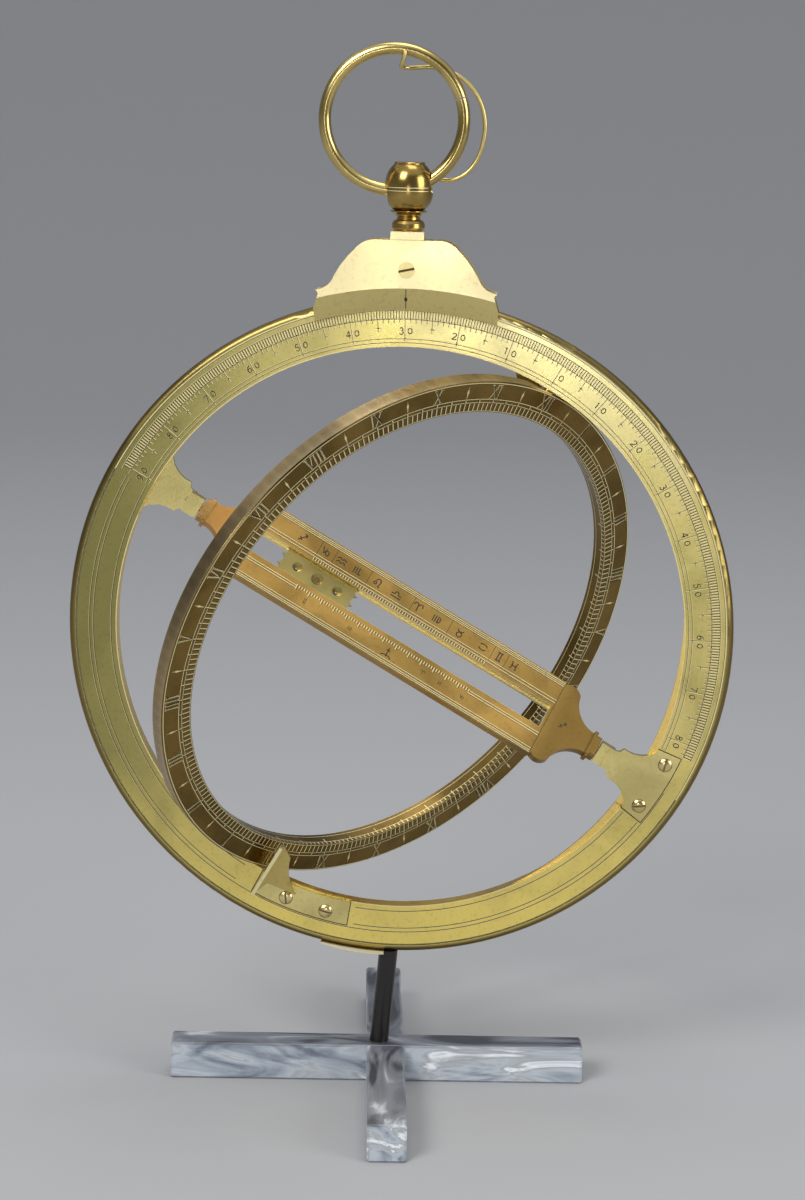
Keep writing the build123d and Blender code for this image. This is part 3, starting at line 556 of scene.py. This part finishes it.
def ring_back_lines():
    """Plain border lines on the back of the meridian ring."""
    marks = Marks()
    for r in (99.8, 105.9, BORDER_R):
        marks.arc(ring_back, r, 0.25, 40, 110)
        marks.arc(ring_back, r, 0.25, 135, 380)
    marks.build("ring_back_lines", mark_and_shade, "meridian", "meridian_brass")


# hour scale: twice twelve hours, read clockwise, XII at both pivots
HOURS = ("XII", "XI", "X", "IX", "VIII", "VII", "VI", "V", "IIII", "III", "II", "I")
HOUR_ZERO = 1.0             # angle of the first XII from the upper pivot
HOUR_STEP = 15              # angle from hour to hour, and from tick to tick
TICK_STEP = 1.25
TICKS = 288
NUMERAL_R, NUMERAL_H = 93.4, 4.8
SPEAR = ((0, -2.6), (0.22, -0.6), (0.42, 0.3), (0.1, 1.2),
         (0, 2.4), (-0.1, 1.2), (-0.42, 0.3), (-0.22, -0.6))
SPEAR_R = 93.2
BORE_MARK_R = 86.07         # just inside the hour ring's bore


def hour_numerals(light, dark):
    """Roman numerals, each drawn over a painted shadow copy set a little to one side, with a spear point at
    each half hour.
    """
    for half in (0, 180):
        for k, text in enumerate(HOURS):
            angle = HOUR_ZERO + half + HOUR_STEP * k
            place = glyph_place(NUMERAL_R, angle)
            roman(dark, hour_face, shifted(place, 0.22, -0.16), text, NUMERAL_H, 0.62, 0.3)
            roman(light, hour_face, place, text, NUMERAL_H, 0.55, 0.3)
            spear = glyph_place(SPEAR_R, angle + HOUR_STEP / 2)
            light.polygon([hour_face.at(*spear(x, y)) for x, y in SPEAR])


def hour_scale():
    light, dark = Marks(), Marks()
    hour_numerals(light, dark)
    # ticks and round lines: each a bright stroke of painted highlight with a painted shade stroke beside it
    for k in range(TICKS):
        angle = HOUR_ZERO + TICK_STEP * k
        top = 90.6 if k % 3 == 0 else 89.4
        light.tick(hour_face, 86.5, top, angle, 0.36)
        dark.tick(hour_face, 86.5, top, angle, 0.3, 0.42)
    for r, width in ((96.55, 0.34), (90.65, 0.26), (89.45, 0.22), (86.35, 0.2)):
        light.arc(hour_face, r, width, 0, 360)
        dark.arc(hour_face, r - width / 2 - 0.1, 0.2, 0, 360)
    light.build("hour_scale_and_highlight", mark_and_highlight, "equinoctial", "hour_brass")
    dark.build("hour_scale_and_shade", mark_and_shade, "equinoctial", "hour_brass")


def on_bore(angle, height):
    """Point on the hour ring's bore, at this height in front of its pivots."""
    a = math.radians(angle)
    across = hour_face.x * math.cos(a) + hour_face.y * math.sin(a)
    return (CENTRE + across * BORE_MARK_R + hour_face.n * height) / 1000


def bore_patch(marks, start, end, low, high):
    corners = ((start, low), (end, low), (end, high), (start, high))
    marks.polygon([on_bore(angle, height) for angle, height in corners])


def inner_scale():
    """Graduations on the inner cylinder of the hour ring."""
    marks = Marks()
    for k in range(TICKS):
        angle = HOUR_ZERO + TICK_STEP * k
        low = 0.6 if k % 12 == 0 else 1.4 if k % 6 == 0 else 2.2
        bore_patch(marks, angle, angle + 0.22, low, 3.7)
    for low in (2.2, -1.0):
        for k in range(180):
            bore_patch(marks, 2 * k, 2 * k + 2, low, low + 0.2)
    marks.build("hour_ring_inner_scale", mark_and_highlight, "equinoctial", "hour_brass")


# bridge: signs of the zodiac and the small anchor, and where each stands along the upper rail
SIGNS = {
    "ram": [circle(-0.25, 0.2, 0.22, 0.25, 200, 0, 6) + [(0, -0.5)],
            circle(0.25, 0.2, 0.22, 0.25, -20, 180, 6)],
    "bull": [circle(0, -0.2, 0.28, 0.28), circle(0, 0.4, 0.35, 0.3, 190, 350, 6)],
    "twins": [[(-0.15, -0.4), (-0.15, 0.4)], [(0.15, -0.4), (0.15, 0.4)], [(-0.3, 0.45), (0.3, 0.45)],
              [(-0.3, -0.45), (0.3, -0.45)]],
    "crab": [circle(0, 0.12, 0.4, 0.22, 160, 0, 6), circle(0, -0.12, 0.4, 0.22, 340, 180, 6)],
    "lion": [circle(-0.2, -0.1, 0.16, 0.16),
             circle(0.08, 0.2, 0.25, 0.25, 190, -20, 7) + [(0.2, -0.4), (0.4, -0.4)]],
    "maid": [[(-0.4, 0.3), (-0.4, -0.4)], [(-0.15, 0.35), (-0.15, -0.4)], [(0.1, 0.35), (0.1, -0.4)],
             circle(0.22, -0.05, 0.14, 0.3, 90, -160, 6)],
    "scales": [[(-0.55, -0.35), (0.55, -0.35)], [(-0.55, -0.05), (-0.2, -0.05)],
               [(0.2, -0.05), (0.55, -0.05)], circle(0, 0.05, 0.2, 0.25, 200, -20, 6)],
    "scorpion": [[(-0.4, 0.3), (-0.4, -0.4)], [(-0.15, 0.35), (-0.15, -0.4)],
                 [(0.1, 0.35), (0.1, -0.4), (0.4, -0.3)]],
    "archer": [[(-0.35, -0.45), (0.35, 0.4)], [(0.05, 0.42), (0.35, 0.4), (0.33, 0.1)],
               [(-0.3, 0), (0, -0.35)]],
    "goat": [[(-0.4, 0.4), (-0.15, -0.3), (0.05, 0.3)], circle(0.2, -0.15, 0.18, 0.25)],
    "waterman": [[(-0.5, 0.1), (-0.25, 0.3), (0, 0.1), (0.25, 0.3), (0.5, 0.1)],
                 [(-0.5, -0.3), (-0.25, -0.1), (0, -0.3), (0.25, -0.1), (0.5, -0.3)]],
    "fishes": [circle(-0.4, 0, 0.2, 0.45, -70, 70, 5), circle(0.4, 0, 0.2, 0.45, 110, 250, 5),
               [(-0.3, 0), (0.3, 0)]],
    "anchor": [[(0, 0.5), (0, -0.5)], [(-0.2, 0.2), (0.2, 0.2)],
               [(-0.55, -0.55), (-0.3, -0.35), (0.3, -0.35), (0.55, -0.55)]],
}
UPPER_RAIL = (("archer", -44.8), ("goat", -35.5), ("waterman", -29.2), ("scorpion", -22.6), ("lion", -14.8),
              ("scales", -7.0), ("ram", 1.6), ("maid", 9.4), ("bull", 18.6), ("crab", 28.0), ("fishes", 40.6),
              ("twins", 34.6))
LOWER_RAIL = (("twins", -33.0), ("maid", -15.0), ("ram", 14.0), ("fishes", 21.0), ("goat", 30.0))
BRIDGE_END = 59.3


def bridge_borders(light, dark):
    """Lines along both rails, each a bright stroke of painted highlight with a painted shade stroke just
    beneath it.
    """
    for y in (14.75, 14.1, 13.45, 7.3, 6.2, -14.9, -14.3, -13.4):
        light.line(bridge_face, (-BRIDGE_END, y), (BRIDGE_END, y), 0.22)
        dark.line(bridge_face, (-BRIDGE_END, y - 0.22), (BRIDGE_END, y - 0.22), 0.2)
    for start, end in ((-BRIDGE_END, -38), (31, BRIDGE_END)):
        for y in (-6.9, -7.8):
            light.line(bridge_face, (start, y), (end, y), 0.24)
            dark.line(bridge_face, (start, y - 0.22), (end, y - 0.22), 0.18)


def bridge_ticks(light, dark):
    """Divisions beside the slot, one millimetre apart, each a bright stroke of painted highlight with a
    painted shade stroke beside it.
    """
    for k in range(70):
        x = k - 38
        low = -8.3 if k % 5 == 0 else -7.4
        light.line(bridge_face, (x, -6.3), (x, low), 0.3)
        dark.line(bridge_face, (x + 0.35, -6.3), (x + 0.35, low), 0.24)
        light.line(bridge_face, (x, 4.75), (x, 5.9), 0.24)
        dark.line(bridge_face, (x + 0.32, 4.75), (x + 0.32, 5.9), 0.26)


def bridge_signs(dark):
    """Calendar signs on the rails, their dividing lines, an anchor, and one sign on the south end."""
    for sign, x in UPPER_RAIL:
        strokes(dark, bridge_face, straight_place(x, 10.2), SIGNS[sign], 3.5, 0.42)
    for x in (-38, -32, -18.2, -0.6, 14.5, 31.8, 37.4):
        dark.line(bridge_face, (x, 7.3), (x, 13.4), 0.16)
    for sign, x in LOWER_RAIL:
        strokes(dark, bridge_face, straight_place(x, -10.4), SIGNS[sign], 1.9, 0.18)
    strokes(dark, bridge_face, straight_place(0.3, -10.6), SIGNS["anchor"], 3.6, 0.4)
    strokes(dark, bridge_face, straight_place(65.2, 0.4), SIGNS["archer"], 3.0, 0.34)
    for x in (-BRIDGE_END - 0.15, BRIDGE_END + 0.15):
        dark.line(bridge_face, (x, -14.7), (x, 14.7), 0.2)


def bridge_scales():
    light, dark = Marks(), Marks()
    bridge_borders(light, dark)
    bridge_ticks(light, dark)
    bridge_signs(dark)
    light.build("bridge_scales_and_highlight", mark_and_highlight, "bridge_body", "bridge_brass")
    dark.build("bridge_scales_and_shade", mark_and_shade, "bridge_body", "bridge_brass")


BAND_TOP = 117.5            # the shackle's lower band: its top edge, and its slope back to the ring
BAND_SLOPE = 1.3 / 7.5


def shackle_index():
    """Index line with a short bar across it, on the sloping lower band of the shackle."""
    marks = Marks()
    for half, low, high in ((0.15, 110.6, 117.2), (0.5, 113.2, 114.4)):
        corners = ((-half, low), (half, low), (half, high), (-half, high))
        marks.polygon([(CENTRE + Vector((x, -(CHEEK_FACE - (BAND_TOP - z) * BAND_SLOPE + LIFT), z))) / 1000
                       for x, z in corners])
    marks.build("shackle_index", mark_and_shade, "shackle", "shackle_brass")


BALL_Z = 150.6              # the swivel ball's middle above the dial's centre, and its radius there
BALL_LINE_R = 8.2


def ball_lines():
    """Two turned lines round the swivel ball, broken where the suspension ring goes through."""
    marks = Marks()
    for height in (0.35, -0.75):
        for start in (34, 214):
            for k in range(28):
                a, b = math.radians(start + 4 * k), math.radians(start + 4 * k + 4)
                corners = ((a, -0.13), (b, -0.13), (b, 0.13), (a, 0.13))
                marks.polygon([(CENTRE + Vector((BALL_LINE_R * math.cos(t), BALL_LINE_R * math.sin(t),
                                                 BALL_Z + height + z))) / 1000 for t, z in corners])
    marks.build("swivel_ball_lines", mark_and_highlight, "swivel", "swivel_brass")


latitude_scales()
ring_back_lines()
hour_scale()
inner_scale()
bridge_scales()
shackle_index()
ball_lines()

# ---------------------------------------------------------------- studio
FLOOR_R = 1.9               # flat part of the floor, rounding of its rim and height of the rim, in metres
RIM_R = 2.2
RIM_TOP = 3.4
RIM_STEPS = 24
TURNS = 72


def floor_piece():
    """Pale round floor whose rim curves up all round, so that every view ends on it."""
    outline = [(FLOOR_R, 0.0)]
    for k in range(1, RIM_STEPS + 1):
        a = math.radians(90 * k / RIM_STEPS)
        outline.append((FLOOR_R + RIM_R * math.sin(a), RIM_R - RIM_R * math.cos(a)))
    outline.append((FLOOR_R + RIM_R, RIM_TOP))
    points = [(r * math.cos(math.tau * t / TURNS), r * math.sin(math.tau * t / TURNS), z)
              for r, z in outline for t in range(TURNS)]
    faces = [tuple(range(TURNS))]
    for ring in range(0, (len(outline) - 1) * TURNS, TURNS):
        for t in range(TURNS):
            u = (t + 1) % TURNS
            faces.append((ring + u, ring + t, ring + TURNS + t, ring + TURNS + u))
    mesh = bpy.data.meshes.new("studio_floor")
    mesh.from_pydata(points, [], faces)
    for polygon in mesh.polygons:
        polygon.use_smooth = True
    mesh.materials.append(plain("studio_paper", (0.36, 0.36, 0.365), 0.9, 0.0))
    piece = bpy.data.objects.new("studio_floor", mesh)
    bpy.context.scene.collection.objects.link(piece)


def area_light(name, place, aim, size, power):
    lamp = bpy.data.lights.new(name, "AREA")
    lamp.shape = "RECTANGLE"
    lamp.size, lamp.size_y = size
    lamp.energy = power
    holder = bpy.data.objects.new(name, lamp)
    holder.location = place
    holder.rotation_euler = (Vector(aim) - Vector(place)).to_track_quat("-Z", "Y").to_euler()
    bpy.context.scene.collection.objects.link(holder)


floor_piece()
area_light("key", (-0.9, -1.5, 1.5), (0, 0, 0.16), (0.9, 0.9), 32)
area_light("fill_right", (1.75, -0.9, 0.75), (0, 0, 0.16), (1.0, 1.0), 17)
area_light("top", (0.2, 0.1, 2.2), (0, 0, 0.1), (1.4, 1.0), 14)
area_light("flash", (-0.02, -1.5, 0.19), (0.02, 0, 0.26), (0.2, 0.2), 0.95)

world = bpy.data.worlds.new("studio")
bpy.context.scene.world = world
world.use_nodes = True
world.node_tree.nodes["Background"].inputs["Color"].default_value = (0.62, 0.64, 0.68, 1)
world.node_tree.nodes["Background"].inputs["Strength"].default_value = 1.0
bpy.context.scene.view_settings.view_transform = "Standard"

# ---------------------------------------------------------------- camera
CAMERA_PLACE = (0.0595, -0.9453, 0.3449)
CAMERA_TURN = 3.55          # degrees to the left, downward, and rolled
CAMERA_DOWN = 10.38
CAMERA_ROLL = 1.29
camera = bpy.data.cameras.new("camera")
camera.lens = 84.0
camera.sensor_width = 36.0
camera.clip_start = 0.01
viewpoint = bpy.data.objects.new("camera", camera)
turn = (Matrix.Rotation(math.radians(CAMERA_TURN), 4, "Z")
        @ Matrix.Rotation(math.radians(90 - CAMERA_DOWN), 4, "X")
        @ Matrix.Rotation(math.radians(CAMERA_ROLL), 4, "Z"))
viewpoint.matrix_world = Matrix.Translation(CAMERA_PLACE) @ turn
bpy.context.scene.collection.objects.link(viewpoint)
bpy.context.scene.camera = viewpoint
